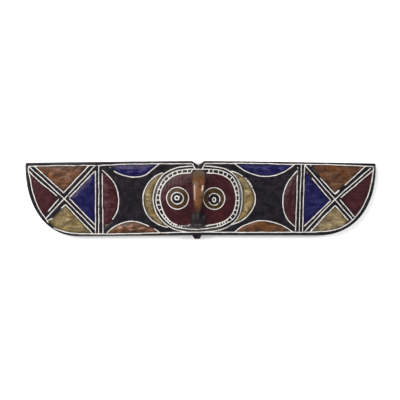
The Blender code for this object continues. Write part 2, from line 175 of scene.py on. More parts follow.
def through(*places):
    """A smooth curve through the places; through two of them it is straight.

    Between two places it is the cubic whose slope at each end is the chord from the place
    before to the place after, over the way between them.
    """
    spots = np.array(places, float)
    way = way_along(spots)
    wide = np.vstack([2 * spots[0] - spots[1], spots, 2 * spots[-1] - spots[-2]])
    reach = np.concatenate([[-way[1]], way, [2 * way[-1] - way[-2]]])
    slope = (wide[2:] - wide[:-2]) / (reach[2:] - reach[:-2])[:, None]
    place = np.linspace(0, way[-1], max(3, int(way[-1] / PATH_STEP) + 1))
    first = np.clip(np.searchsorted(way, place, side="right") - 1, 0, len(way) - 2)
    span = (way[first + 1] - way[first])[:, None]
    t = (place - way[first])[:, None] / span
    start, end = spots[first], spots[first + 1]
    return (
        start * (1 + 2 * t) * (1 - t) ** 2
        + end * t * t * (3 - 2 * t)
        + slope[first] * span * t * (1 - t) ** 2
        - slope[first + 1] * span * t * t * (1 - t)
    )


def eased(curve, count):
    """The curve with each point moved to the mean of count neighbours; both ends stay put."""
    half = count // 2
    head = 2 * curve[0] - curve[half:0:-1]
    tail = 2 * curve[-1] - curve[-2 : -2 - half : -1]
    long = np.vstack([head, curve, tail])
    weight = np.hanning(count + 2)[1:-1]
    weight /= weight.sum()
    return np.stack([np.convolve(row, weight, mode="valid") for row in long.T], 1)


def bowed(*places):
    """A hand-cut arc: a smooth curve through the places, eased of its small corners."""
    return eased(through(*places), EASED_OVER)


def oval(centre, half_wide, half_high, count=48, start=0, end=360):
    """An oval, or the part of it between two turns in degrees."""
    turn = np.radians(np.linspace(start, end, count + 1))
    return np.stack([centre[0] + half_wide * np.cos(turn), centre[1] + half_high * np.sin(turn)], 1)


def ripple(way, long, seed):
    """Smooth noise along a line: three sines of unlike lengths with drawn phases."""
    phase = np.random.default_rng(seed).uniform(0, 2 * np.pi, 3)
    waves = [np.sin(2 * np.pi * way * rate / long + phase[i]) for i, rate in enumerate((1, 1.9, 3.3))]
    return (waves[0] + 0.7 * waves[1] + 0.5 * waves[2]) / 1.6


def dapple(x, y, short, long, seed, count=28):
    """Smooth noise over the board: a sum of plane waves with drawn headings and lengths."""
    draw = np.random.default_rng(seed)
    heading = draw.uniform(0, np.pi, count)
    length = draw.uniform(short, long, count)
    phase = draw.uniform(0, 2 * np.pi, count)
    total = np.zeros_like(x)
    for turn, wave, start in zip(heading, length, phase):
        along = x * math.cos(turn) + y * math.sin(turn)
        total += np.sin(2 * np.pi * along / wave + start)
    return total / math.sqrt(count / 2)


def uneven(x, y, marks):
    """How high the knife's marks stand: the sum of their dapples."""
    return sum(high * dapple(x, y, short, long, seed) for high, short, long, seed in marks)


# Outline

def side_value(x, values):
    return np.where(x < 0, values[LEFT], values[RIGHT])


def top_edge(x, inset=0.0):
    """Top edge with the V notch; it falls with the power 1.3 of the way to the tips."""
    edge = TOP_Y - side_value(x, TOP_FALL) * (np.abs(x) / HALF_SPAN) ** 1.3 - inset
    slope = NOTCH_DEEP / (NOTCH_WIDE / 2)
    notch = TOP_Y - NOTCH_DEEP + slope * np.abs(x - FACE_X) - inset * math.hypot(1, slope)
    return np.minimum(edge, notch)


def low_edge(x, inset=0.0):
    """Lower edge with the small tab."""
    start = HALF_SPAN - side_value(x, CORNER_WIDE)
    edge = LOW_Y - side_value(x, LOW_SAG) * np.minimum(1, np.abs(x) / start) + inset
    slope = TAB_LONG / ((TAB_WIDE - TAB_END_WIDE) / 2)
    flank = slope * (np.abs(x - TAB_X) - TAB_END_WIDE / 2) + inset * math.hypot(1, slope)
    tab = LOW_Y - TAB_LONG + np.maximum(inset, flank)
    return np.minimum(edge, tab)


def corner_arc(side, inset, turns):
    """Round lower corner as a superellipse, by the turn from the tip."""
    power = 2 / CORNER_POWER[side]
    ends = np.array([side * HALF_SPAN])
    start_y = top_edge(ends)[0] - TIP_BLUNT - inset
    wide = CORNER_WIDE[side] - inset
    high = start_y - low_edge(ends, inset)[0]
    x = HALF_SPAN - inset - wide * (1 - np.maximum(np.cos(turns), 0) ** power)
    return np.stack([side * x, start_y - high * np.sin(turns) ** power], 1)


def tip_curve(side, inset):
    """The steep side of a wing: up the corner to the tip and over its short blunt end,
    which moves in by 0.6 of the inset."""
    arc = corner_arc(side, inset, np.linspace(CORNER_SPLIT, 0, ARC_POINTS))
    end_x = side * (HALF_SPAN - TIP_BLUNT - 0.6 * inset)
    end = np.array([[end_x, top_edge(np.array([end_x]), inset)[0]]])
    blunt = arc[-1] + (end - arc[-1]) * np.linspace(0, 1, 9)[1:, None]
    return np.vstack([arc, blunt])


def foot_curve(side, inset):
    """The lower part of a corner, from where the steep side starts to the lower edge."""
    return corner_arc(side, inset, np.linspace(CORNER_SPLIT, math.pi / 2, ARC_POINTS))


def even_places(curve, count):
    """Places along a dense curve, as fractions of its index, that are evenly far apart."""
    way = way_along(curve)
    return np.interp(np.linspace(0, way[-1], count + 1), way, np.arange(len(curve)))


def picked(curve, places):
    """The curve at places given as fractions of its index."""
    return np.stack([np.interp(places, np.arange(len(curve)), row) for row in curve.T], 1)


def middle_stations():
    """x of the columns between the two round corners, closer over the face and the beak."""
    start = -(HALF_SPAN - CORNER_WIDE[LEFT])
    end = HALF_SPAN - CORNER_WIDE[RIGHT]
    fine = np.linspace(start, end, 4000)
    away = np.abs(fine - FACE_X)
    wide = np.where(away < FACE_ZONE, FACE_STEP, WING_STEP)
    step = np.where(away < BEAK_ZONE, BEAK_STEP, wide)
    count = np.concatenate([[0], np.cumsum(1 / step[1:])])
    return np.interp(np.linspace(0, count[-1], MIDDLE_COLUMNS + 1), count, fine)


STATIONS = middle_stations()
TIP_PLACES = {side: even_places(tip_curve(side, 0), ROWS) for side in SIDES}
FOOT_PLACES = {side: even_places(foot_curve(side, 0), END_COLUMNS[side]) for side in SIDES}


def four_sides(inset):
    """Low, top, left and right side of the board's outline drawn in by an inset."""
    sides = {side: picked(tip_curve(side, inset), TIP_PLACES[side]) for side in SIDES}
    feet = {side: picked(foot_curve(side, inset), FOOT_PLACES[side]) for side in SIDES}
    low_middle = np.stack([STATIONS, low_edge(STATIONS, inset)], 1)
    low = np.vstack([feet[LEFT], low_middle[1:-1], feet[RIGHT][::-1]])
    left_x = np.linspace(sides[LEFT][-1, 0], STATIONS[0], END_COLUMNS[LEFT] + 1)
    right_x = np.linspace(STATIONS[-1], sides[RIGHT][-1, 0], END_COLUMNS[RIGHT] + 1)
    top_x = np.concatenate([left_x, STATIONS[1:-1], right_x])
    top = np.stack([top_x, top_edge(top_x, inset)], 1)
    return low, top, sides[LEFT], sides[RIGHT]


def loop_of(low, top, left, right):
    """The four sides as one ring, anticlockwise from the lower left."""
    return np.vstack([low, right[1:], top[::-1][1:], left[::-1][1:-1]])


def filled(low, top, left, right, ends=0.25):
    """Points between four sides: straight between low and top, and bent by the left and
    right sides, whose pull fades with the square of the way from them."""
    u = (top[:, 0] - top[0, 0]) / (top[-1, 0] - top[0, 0])
    v = np.linspace(0, 1, len(left))[:, None, None]
    sheet = low[None] * (1 - v) + top[None] * v
    for side, away in ((left, u), (right, 1 - u)):
        pull = np.maximum(0, 1 - away / ends)
        chord = side[0] * (1 - v[:, 0]) + side[-1] * v[:, 0]
        sheet += (side - chord)[:, None, :] * (pull ** 2)[None, :, None]
    return sheet


# Gouged lines, drawn through places read off the mask's front

cuts = []


def cut(path, wide=LINE_WIDE, deep=LINE_DEEP, pale=1.0, sway=0.22):
    """One gouged line: its way swayed by hand, its width uneven and its open ends tapered.

    Pale is how much of the line shows raw wood: 1 all of it, less where paint has run in.
    """
    seed = FIRST_SEED + len(cuts)
    way = way_along(path)
    heading = np.gradient(path, axis=0)
    heading /= np.maximum(np.hypot(*heading.T), 1e-6)[:, None]
    across = np.stack([-heading[:, 1], heading[:, 0]], 1)
    closed = np.allclose(path[0], path[-1])
    from_end = np.minimum(way, way[-1] - way)
    loose = np.clip(from_end / RING_JOIN, 0, 1) if closed else np.ones(len(way))
    half = wide / 2 * (1 + WIDTH_CHANGE * ripple(way, WIDTH_WAVE, seed + WIDTH_SEEDS) * loose)
    if not closed:
        half = half * np.clip(0.5 + from_end / END_TAPER, 0, 1)
    moved = path + across * (sway * ripple(way, SWAY_WAVE, seed) * loose)[:, None]
    cuts.append({"path": moved, "half": half, "deep": deep, "pale": pale})


def stroke(*places, **how):
    cut(through(*places), **how)


BORDER_TOP_LEFT = through(
    (-299.2, 58.6), (-244.6, 59.9), (-175, 60.2), (-140.2, 62), (-88, 63), (-14, 63.3)
)
BORDER_TOP_RIGHT = through(
    (7.5, 63.5), (103.5, 63.7), (138.3, 62.4), (225.3, 61.4), (260.1, 60), (301, 58.2)
)
BORDER_LEFT = through(
    (-299.4, 58.4), (-298.9, 48.7), (-296, 34.8), (-291.3, 12.2), (-282, -13.1), (-269.8, -31.3),
    (-264.6, -39.4)
)
BORDER_LOW = through(
    (-255.5, -48.4), (-244.6, -52.7), (-227.2, -57.2), (-209.8, -58.3), (-182, -59),
    (-122.8, -58.5), (-60, -56.7), (-1, -55.8), (68.7, -56.3), (190.5, -55.8), (207.9, -55),
    (225.3, -53.2), (242.7, -48.7), (260.1, -38.3), (277.5, -19.1), (288.8, 2.6), (295.8, 24.4),
    (298.8, 40), (300.8, 57.8)
)

LENS = {
    "left top": bowed(
        (-151.2, 51), (-143.7, 46.5), (-131.5, 42.1), (-114.1, 39.4), (-96.7, 43.2), (-88, 49.3),
        (-79.3, 56.7), (-71.2, 63.2)
    ),
    "left low": bowed(
        (-163.4, -58), (-157.6, -51.5), (-149.4, -46), (-131.5, -38.3), (-114.1, -36.9),
        (-96.7, -42.8), (-81.5, -49.4), (-70.8, -56.8)
    ),
    "left side": bowed(
        (-171, 52.2), (-157.6, 39.5), (-150.3, 29.6), (-144.7, 17.4), (-142.3, 0), (-144.2, -17.4),
        (-148.5, -27), (-153.4, -34.6)
    ),
    "right top": bowed(
        (58.8, 63.6), (68.7, 55.7), (77.4, 50.5), (94.8, 43.7), (112.2, 40.6), (129.6, 43),
        (147, 49.8), (163.4, 61.6)
    ),
    "right low": bowed(
        (59.4, -56), (68.7, -47.9), (77.4, -43.3), (94.8, -37.2), (107, -35.9), (120.9, -37.4),
        (138.3, -42.5), (160.8, -55.6)
    ),
    "right side": bowed(
        (168.4, 51.2), (159, 40.9), (149.6, 27), (143.9, 9), (142.7, -3.5), (143.9, -15),
        (146.9, -26), (152.6, -35.6), (163.6, -46.4)
    ),
}

CRESCENT = {
    LEFT: bowed(
        (-65.4, 47), (-74.9, 44), (-84.5, 36.9), (-92.3, 27.8), (-98, 16), (-100.5, -1),
        (-95.5, -21.4), (-88, -31.7), (-79.3, -38.8), (-70.6, -44), (-56.7, -47.9)
    ),
    RIGHT: bowed(
        (53, 50.5), (61.7, 48), (73.7, 41.4), (83.2, 32.4), (88.3, 23), (93.5, 13.1), (95.3, 1.7),
        (93.9, -9.2), (87.8, -19.9), (79.1, -30.1), (68.7, -37.2), (53, -43.5)
    ),
}

FACE_LINE = {
    LEFT: bowed(
        (-13.1, 59), (-35.8, 57.4), (-52.6, 51.7), (-66.5, 43), (-77, 26), (-82.9, 2),
        (-77.5, -20.4), (-64.8, -38.3), (-51.4, -48.4), (-38.7, -52.6), (-25, -55.2)
    ),
    RIGHT: bowed(
        (6.9, 59.2), (26.9, 57.6), (46.6, 52.4), (61.7, 40), (70.1, 20.9), (72.3, 1), (66.9, -26.6),
        (51.8, -44), (34.4, -51.7), (7.7, -55.2)
    ),
}
LADDER_OUT = {
    LEFT: bowed(
        (0, 53.5), (-10, 53.4), (-27.1, 52.9), (-44.5, 49.8), (-61.9, 38.6), (-71.1, 24.4),
        (-77.4, 3.5), (-74.9, -13.6), (-64, -31.3), (-49.7, -44), (-27.1, -49.8), (-4, -51)
    ),
    RIGHT: bowed(
        (-8, 53.5), (2, 53.5), (16, 53.3), (34.4, 51.3), (53, 43), (64, 24.4), (66.9, 4.5),
        (65.9, -10.4), (58.7, -31), (37.9, -43.9), (16.4, -48.8), (-4, -51)
    ),
}
LADDER_IN = {
    LEFT: bowed(
        (-17.4, 46.8), (-35.8, 45.6), (-54, 37.6), (-66.5, 22), (-70.7, 3.5), (-67.1, -13.9),
        (-58.4, -31), (-44.5, -42.3), (-30.5, -45.3), (-17.2, -43.7)
    ),
    RIGHT: bowed(
        (9.8, 47), (28.6, 45.8), (46.6, 38.6), (57.7, 24.4), (61.6, 3.5), (58.4, -17.1),
        (50.4, -30.5), (33.9, -39.7), (13, -44.2), (8, -45.6)
    ),
}
LADDER_INSIDE = np.vstack([LADDER_IN[LEFT][::-1], LADDER_IN[RIGHT], LADDER_IN[LEFT][-1:]])
# Rungs: way along each outer line to the first one, their step, and where they crowd
RUNGS = {LEFT: (13.2, 9.45, 144.0), RIGHT: (22.0, 8.85, 155.0)}
CROWDED_STEP = 5.0
RUNG_END = 180.0

# Eyes: centre and half sizes of the outer ring, the middle ring and the pupil's ring
EYES = {
    LEFT: (((-39.8, 3.1), 19.1, 18.8), ((-40.3, 3.1), 10.5, 9.9), ((-41, 3.7), 3.6, 3.2)),
    RIGHT: (((23.4, 2.6), 18.5, 18.8), ((23.4, 1.3), 10, 10.1), ((23.4, 0.5), 2.6, 3.7)),
}


def draw_border():
    cut(BORDER_TOP_LEFT[BORDER_TOP_LEFT[:, 0] < -169], wide=1.3)
    cut(BORDER_TOP_LEFT[BORDER_TOP_LEFT[:, 0] > -174], wide=1.45)
    for path in (BORDER_TOP_RIGHT, BORDER_LEFT, BORDER_LOW):
        cut(path)
    stroke((-14, 63.2), (-9.3, 53.8), wide=1.9)
    stroke((2.3, 53.6), (7.4, 63.2), wide=1.9)
    stroke((-264.6, -39.4), (-255.5, -48.4), wide=1.8, pale=0.35)


def draw_uprights():
    """Three lines across each wing, between its cross and its lenses."""
    for places in (
        ((-182.8, 50.8), (-182.6, 0), (-182.8, -58)),
        ((-177.1, 60), (-176.9, 0), (-177.1, -58.6)),
        ((-170.9, 46.4), (-170.6, 0), (-169.4, -58.4)),
        ((168.2, 45), (167.5, 8.7), (166.1, -26.1), (164.9, -55)),
        ((175.3, 61), (174.8, 43.5), (173.4, 17.4), (171.9, -43.5), (171.3, -55.9)),
        ((181.2, 61), (180.2, 43.5), (178.7, 0), (178, -26.1), (177.5, -55.2)),
    ):
        stroke(*places, wide=1.38)
    stroke((168.9, 59), (168.2, 45), wide=2, pale=0.5)


def draw_left_cross():
    stroke((-298.2, 58), (-237.3, 2.3), (-183, -52.4))
    stroke((-183.2, 60), (-269.8, -32.8))
    stroke((-289.4, 59), (-238.4, 12.7))
    stroke((-193.9, 60), (-238.2, 12.5))
    stroke((-183.7, 50.6), (-228.7, 3.8))
    stroke((-228.7, 3.2), (-183.6, -43.2))
    stroke((-297.2, 49.8), (-291.6, 42.6), (-249.6, 7.1))
    stroke((-246, 2.3), (-265.2, -19.9))
    stroke((-235, -7.7), (-188.1, -57.6))
    stroke((-235, -7.7), (-242.7, -15))
    stroke((-257.6, -31.7), (-266.4, -36), wide=1.6, pale=0.7)


def draw_right_cross():
    stroke((181.8, 60.4), (263.8, -34))
    stroke((295.8, 55.6), (233.6, 1), (180.4, -55.4))
    stroke((189.6, 61.2), (203.6, 46.1), wide=2.2, pale=0.45)
    stroke((203.6, 46.1), (207.9, 39), wide=2, pale=0.2)
    stroke((207.7, 38.6), (233.3, 10.4))
    stroke((241.9, 1.2), (267.2, -29.2))
    stroke((182.5, 50), (188.2, 44.2), wide=2.2, pale=0.45)
    stroke((193.2, 38.2), (226.2, -0.5))
    stroke((234.4, -9.4), (257, -36))
    stroke((286.8, 58.8), (250.4, 25.2))
    stroke((241.2, 16.8), (233.5, 10.4), wide=2.6)
    stroke((226.2, -0.9), (179.5, -46.3))
    stroke((299.4, 51.2), (243, 3.5))
    stroke((234.2, -9.6), (215.9, -26.8))
    stroke((215.9, -26.8), (191, -54.4), wide=2.6, pale=0.6)


def draw_panels():
    """The edges of lenses and crescents, with their breaks and faint stretches."""
    for name in ("left top", "right top", "right low", "right side", "left side"):
        cut(LENS[name])
    low = LENS["left low"]
    cut(low[low[:, 0] < -88.5])
    cut(low[low[:, 0] > -82.5])
    stroke((-154.5, -36.5), (-160.5, -43.2), (-168, -48.5), wide=2.2, pale=0.22)
    stroke((-167.2, -46.3), (-160, -42.6), wide=2.6, pale=0.5)
    stroke((-158.2, 57.3), (-156.8, 56.6), wide=1.9, pale=0.62)
    cut(CRESCENT[LEFT])
    right = CRESCENT[RIGHT]
    cut(right[right[:, 1] > 40.5])
    cut(right[(right[:, 1] < 38.6) & (right[:, 1] > 21)], wide=2.6, pale=0.6)
    cut(right[right[:, 1] <= 21.0])


def draw_face():
    for side in SIDES:
        cut(FACE_LINE[side], wide=1.8)
        cut(LADDER_OUT[side], wide=1.6)
    inner = LADDER_IN[LEFT]
    faint = (inner[:, 0] > -38.5) & (inner[:, 1] < 0)
    cut(inner[~faint], wide=1.9)
    cut(inner[faint], wide=1.3, pale=0.52)
    stroke((-21.5, -46), (-19.2, -42.4), (-16.4, -46.4), wide=1.3, pale=0.6)
    cut(LADDER_IN[RIGHT], wide=1.8)
    for side in SIDES:
        outer, _, pupil = EYES[side]
        cut(oval(*outer), wide=1.5, deep=0.9)
        cut(oval(*pupil, count=24), wide=1.8, deep=0.8, sway=0.1)
    cut(oval(*EYES[LEFT][1]), wide=1.6, deep=0.9)
    stroke((-38, 5.6), (-36.4, 6.9), wide=1.5, deep=0.6)
    cut(oval(*EYES[RIGHT][1], start=-28, end=155), wide=1.5, deep=0.9)
    cut(oval(*EYES[RIGHT][1], start=202, end=312), wide=1.5, deep=0.9)
    cut(oval(*EYES[RIGHT][1], count=12, start=312, end=332), wide=1.2, deep=0.5, pale=0.45)


def draw_rungs():
    """Short strokes across the ladder, even round its top and sides and crowded below."""
    jitter = np.random.default_rng(5)
    for side in SIDES:
        outer_line = LADDER_OUT[side]
        way = way_along(outer_line)
        first, step, crowded = RUNGS[side]
        places = np.concatenate(
            [np.arange(first, crowded, step), np.arange(crowded, RUNG_END, CROWDED_STEP)]
        )
        for spot in places + jitter.uniform(-0.6, 0.6, len(places)):
            outer = np.array([np.interp(spot, way, row) for row in outer_line.T])
            away = np.hypot(*(LADDER_INSIDE - outer).T)
            inner = LADDER_INSIDE[int(away.argmin())]
            stroke(outer, inner, wide=1.5, deep=0.8, sway=0.05)


draw_border()
draw_uprights()
draw_left_cross()
draw_right_cross()
draw_panels()
draw_face()
draw_rungs()


def in_box(x, y, corners, margin):
    """Which points lie in the box round some corners, widened by a margin."""
    low, high = corners.min(0) - margin, corners.max(0) + margin
    return np.flatnonzero((x > low[0]) & (x < high[0]) & (y > low[1]) & (y < high[1]))


def from_steps(x, y, start, step):
    """How far each point lies from each step of a path, and where along the step (0 to 1)."""
    to_x, to_y = x[:, None] - start[:, 0], y[:, None] - start[:, 1]
    t = (to_x * step[:, 0] + to_y * step[:, 1]) / np.maximum((step ** 2).sum(1), 1e-9)
    t = np.clip(t, 0, 1)
    return np.hypot(to_x - t * step[:, 0], to_y - t * step[:, 1]), t


def gouged(x, y):
    """Where each point lies in the nearest line (0 in its middle, 1 on its edge), how deep it
    is cut there (a rounded section, deepest in the middle), and how pale that line is."""
    near = np.full(len(x), NO_LINE)
    deep = np.zeros(len(x))
    pale = np.ones(len(x))
    for line in cuts:
        path, half = line["path"], line["half"]
        for first in range(0, len(path) - 1, RUN):
            part = path[first : first + RUN + 1]
            wide = half[first : first + RUN + 1]
            found = in_box(x, y, part, LINE_REACH * half.max())
            if not len(found):
                continue
            away, t = from_steps(x[found], y[found], part[:-1], np.diff(part, axis=0))
            share = (away / (wide[:-1] * (1 - t) + wide[1:] * t)).min(1)
            closer = share < near[found]
            near[found[closer]] = share[closer]
            pale[found[closer]] = line["pale"]
            sunk = line["deep"] * np.clip(1 - share ** 2, 0, 1)
            deep[found] = np.maximum(deep[found], sunk)
    return near, deep, pale


def inside(x, y, outline):
    """How far each point lies inside a closed outline; less than 0 outside."""
    start = np.asarray(outline, float)
    if np.allclose(start[0], start[-1]):
        start = start[:-1]
    end = np.roll(start, -1, axis=0)
    step = end - start
    climb = np.where(step[:, 1] == 0, 1e-9, step[:, 1])
    result = np.full(len(x), -FAR)
    found = in_box(x, y, start, NEAR_OUTLINE)
    for some in np.array_split(found, max(1, len(found) // BATCH)):
        away = from_steps(x[some], y[some], start, step)[0].min(1)
        px, py = x[some, None], y[some, None]
        over = (start[:, 1] > py) != (end[:, 1] > py)
        cross_x = start[:, 0] + (py - start[:, 1]) / climb * step[:, 0]
        within = (over & (px < cross_x)).sum(1) % 2 == 1
        result[some] = np.where(within, away, -away)
    return result


# Panels

PANEL_RISE = 2.3
SIDE_RISE = 1.6
FIELD_RISE = 1.1
SHOULDER = 6.5
EYE_SHOULDER = 7.0
# How far in from a panel's edge its worn paler paint and painted highlight start and are full, and how
# much further in the edge's darkening, partly painted shade, reaches on a crescent
RUB_AND_HIGHLIGHT_FROM = 2.0
CRESCENT_RUB_AND_HIGHLIGHT_FROM = 3.0
RUB_AND_HIGHLIGHT_FULL = 8.0
CRESCENT_EDGE_SHADE = 1.5
PANEL_NEAR = 3.0  # further out than this, the ground isn't darkened by a panel's edge
OFF_PAINT = 3.0  # how far outside the face's paints the mouth counts as lying
# Paint, outline, how high the middle stands, and how worn pale the paint is there, which also paints a
# highlight on the crest
PANELS = (
    ("brown", [(-289, 59.5), (-194.1, 60.2), (-238.3, 12.5)], FIELD_RISE, 0.35),
    ("blue", [(-183.2, 50.6), (-182.8, -43.4), (-228.9, 3.4)], FIELD_RISE, 0.15),
    ("maroon",
     [(-247.6, 4.6), (-291.6, 42.6), (-296.8, 49.6), (-296, 34.8), (-291.3, 12.2),
      (-282, -13.1), (-272.2, -28), (-265.2, -19.9)],
     FIELD_RISE, 0.25),
    ("ochre",
     [(-235, -7.5), (-188.1, -57.6), (-209.8, -58.3), (-227.2, -57.2), (-244.6, -52.7),
      (-253.3, -49), (-264, -38.5), (-253, -27)],
     FIELD_RISE, 0.85),
    ("brown", [(190.4, 61.2), (286.6, 58.6), (233.4, 10.4)], FIELD_RISE, 0.2),
    ("blue", [(181, 51), (179.2, -46), (226.3, -0.7)], FIELD_RISE, 0.3),
    ("maroon",
     [(242.6, 2.3), (299, 50.9), (295.8, 24.4), (288.8, 2.6), (278.5, -17.5), (267.9, -28.8)],
     FIELD_RISE, 0.2),
    ("ochre",
     [(234.3, -9.3), (257, -36), (250.5, -44), (242.7, -48.7), (225.3, -53.2),
      (207.9, -55), (191, -54.6), (215.9, -26.8)],
     FIELD_RISE, 0.9),
    ("blue", np.vstack([[(-150, 61.6)], LENS["left top"]]), PANEL_RISE, 1),
    ("blue", LENS["right top"], PANEL_RISE, 0.7),
    ("brown", LENS["left low"], PANEL_RISE, 1.6),
    ("brown", LENS["right low"], PANEL_RISE, 0.1),
    ("maroon", np.vstack([LENS["left side"], [(-169.6, -50.5)]]), SIDE_RISE, 0.8),
    ("maroon", LENS["right side"], PANEL_RISE, 0.1),
)
MARKS = ("panel", "crest", "brow", "tip", "mouth")


def grown(within, start, full):
    """0 up to start, 1 from full on."""
    return np.clip((within - start) / (full - start), 0, 1)


def crown(within, rise, shoulder=SHOULDER):
    """A panel's pillowed top: its rise times 1 - exp of minus the way in over the shoulder,
    squared."""
    return rise * (1 - np.exp(-((np.maximum(within, 0) / shoulder) ** 2)))


def dome(x, y):
    """The face: its rise times the power FACE_EDGE of 1 - share to the power 2.2, where share
    grows to 1 on a squarish oval."""
    along = np.abs(x - FACE_X) / (FACE_WIDE / 2)
    up = np.abs(y - FACE_Y) / (FACE_HIGH / 2)
    share = (along ** FACE_POWER + up ** FACE_POWER) ** (1 / FACE_POWER)
    return FACE_RISE * np.maximum(0, 1 - share ** 2.2) ** FACE_EDGE


def soft(row):
    """The mean of BEAK_SOFT neighbours at each place of a row, its ends held."""
    share = np.ones(BEAK_SOFT) / BEAK_SOFT
    return np.convolve(np.pad(row, BEAK_SOFT // 2, mode="edge"), share, mode="valid")


def beak_height(x, y):
    """The beak over the face as a share of its full rise: the rise at that level times the
    power 0.8 of 1 - s to the power 24, where s is 0 on the ridge and 1 on either flank's
    foot, less a slight crown and the even slope of the bevel from s = 0.5 to 0.78. And how
    far in from its foot each point lies."""
    level, left, right, rise = (np.array(column) for column in zip(*BEAK[::-1]))
    fine = np.linspace(level[0] - BEAK_TIP_ROUND, level[-1], 300)
    height = np.interp(fine, level, rise)
    round_tip = rise[0] * np.clip((fine - fine[0]) / BEAK_TIP_ROUND, 0, 1) ** 0.5
    height = np.where(fine < level[0], round_tip, height)
    rows = np.interp(fine, level, left), np.interp(fine, level, right), height
    left_edge, right_edge, height = (np.interp(y, fine, soft(row)) for row in rows)
    height = np.where((y < fine[0]) | (y > fine[-1]), 0, height)
    middle = (left_edge + right_edge) / 2
    half = (right_edge - left_edge) / 2
    s = np.abs(x - middle) / half
    bevel = BEVEL_SLOPE * half * np.clip(s - BEVEL_FROM, 0, BEVEL_WIDE) / BEAK_RISE
    top = height - np.minimum(height, bevel + RIDGE_CROWN * np.minimum(s, BEVEL_FROM) ** 2)
    section = np.maximum(0, 1 - np.minimum(s, 1) ** 24) ** 0.8
    within = np.where(height > 0, (1 - s) * half, -FAR)
    return top * section, within


def mouth_height(x, y):
    """A low knob with full shoulders: its rise times the power 0.6 of 1 - share to the power
    4, where share grows to 1 on a squarish oval."""
    along = np.abs(x - MOUTH[0]) / MOUTH_HALF[0]
    up = np.abs(y - MOUTH[1]) / MOUTH_HALF[1]
    share = (along ** 3 + up ** 3) ** (1 / 3)
    return MOUTH_RISE * np.maximum(0, 1 - share ** 4) ** 0.6


def carve_panels(x, y, in_face, within):
    """How high the panels and crescents stand; fills in their fields."""
    height = np.zeros(len(x))
    for paint, outline, rise, rub_and_highlight in PANELS:
        here = inside(x, y, outline)
        within[paint] = np.maximum(within[paint], here)
        within["panel"] = np.maximum(within["panel"], here)
        # worn paler paint on each panel's crest, partly a painted highlight
        within["crest"] = np.maximum(within["crest"], rub_and_highlight * grown(here, RUB_AND_HIGHLIGHT_FROM, RUB_AND_HIGHLIGHT_FULL))
        height += crown(here, rise)
    for side in SIDES:
        here = np.minimum(inside(x, y, CRESCENT[side]), -in_face)
        within["ochre"] = np.maximum(within["ochre"], here)
        # the crescent's edge darkens further in, painted shade where it falls to the face's ring
        within["panel"] = np.maximum(within["panel"], here - CRESCENT_EDGE_SHADE * (here > 0))
        # the crescent's middle is worn paler, partly a painted highlight
        within["crest"] = np.maximum(within["crest"], grown(here, CRESCENT_RUB_AND_HIGHLIGHT_FROM, RUB_AND_HIGHLIGHT_FULL))
        height += crown(here, PANEL_RISE)
    within["panel"] = np.where(within["panel"] < -PANEL_NEAR, FAR, within["panel"])
    return height


def carve_eyes(x, y, in_ladder, knob, within):
    """How high the eyes stand; fills in the face's own paints, which leave out the mouth."""
    height = np.zeros(len(x))
    eyes = np.full(len(x), -FAR)
    irises = np.full(len(x), -FAR)
    for side in SIDES:
        outer, middle, _ = EYES[side]
        here = inside(x, y, oval(*outer))
        eyes = np.maximum(eyes, here)
        irises = np.maximum(irises, inside(x, y, oval(*middle)))
        height += crown(here, EYE_RISE, EYE_SHOULDER)
    off_mouth = np.where(knob > KNOB_FOOT, -OFF_PAINT, OFF_PAINT)
    face = np.maximum(within["maroon"], np.minimum(in_ladder, -eyes))
    within["maroon"] = np.minimum(face, off_mouth)
    within["olive"] = np.minimum(np.minimum(eyes, -irises), off_mouth)
    return height


def carve_front(x, y):
    """Height of the front and the fields that the lines and the paints follow."""
    within = {name: np.full(len(x), -FAR) for name in (*PAINT_TONES, *MARKS)}
    in_face = inside(x, y, np.vstack([FACE_LINE[LEFT][::-1], FACE_LINE[RIGHT]]))
    in_ladder = inside(x, y, LADDER_INSIDE)
    beak, in_beak = beak_height(x, y)
    beak = beak * BEAK_RISE
    knob = mouth_height(x, y)
    height = THICK + carve_panels(x, y, in_face, within)
    height += carve_eyes(x, y, in_ladder, knob, within)
    height += dome(x, y) + np.maximum(beak, knob)
    within["beak"] = in_beak
    within["brow"] = y - BROW_Y
    within["tip"] = np.where(in_beak > 0, BEAK_BLACK_Y - y, -FAR)
    within["mouth"] = np.where(knob > KNOB_FOOT, 1.0, 0.0)
    near, deep, pale = gouged(x, y)
    # lines run out where the beak or the mouth rises over them
    bare = np.clip(1 - (beak - BEAK_CLEAR) / LINE_FADE, 0, 1)
    bare = bare * np.clip(1 - (knob - MOUTH_CLEAR) / LINE_FADE, 0, 1)
    near = np.where(bare > 0.5, near, NO_LINE)
    height -= deep * bare
    height += np.where(in_beak > 0, BEAK_UNEVEN, 1) * uneven(x, y, FRONT_MARKS)
    return height, near, pale, within


def front_sheet():
    """The carved front, row by row, with its fields; level at its edge, where the rim starts."""
    sheet = filled(*four_sides(EDGE_ROUND))
    height, near, pale, within = carve_front(sheet[..., 0].ravel(), sheet[..., 1].ravel())
    row, column = (np.arange(count) for count in sheet.shape[:2])
    from_edge = np.minimum.outer(np.minimum(row, row[::-1]), np.minimum(column, column[::-1]))
    height = THICK + (height - THICK) * np.clip(from_edge / LEVEL_ROWS, 0, 1).ravel()
    return sheet, height, near, pale, within


def hollow(x, y):
    """The scooped back: its depth times the power 0.6 of 1 - share squared, where share
    grows to 1 on an oval."""
    share = np.hypot((x - FACE_X) / (HOLLOW_WIDE / 2), (y - FACE_Y) / (HOLLOW_HIGH / 2))
    return HOLLOW_DEEP * np.maximum(0, 1 - share ** 2) ** 0.6


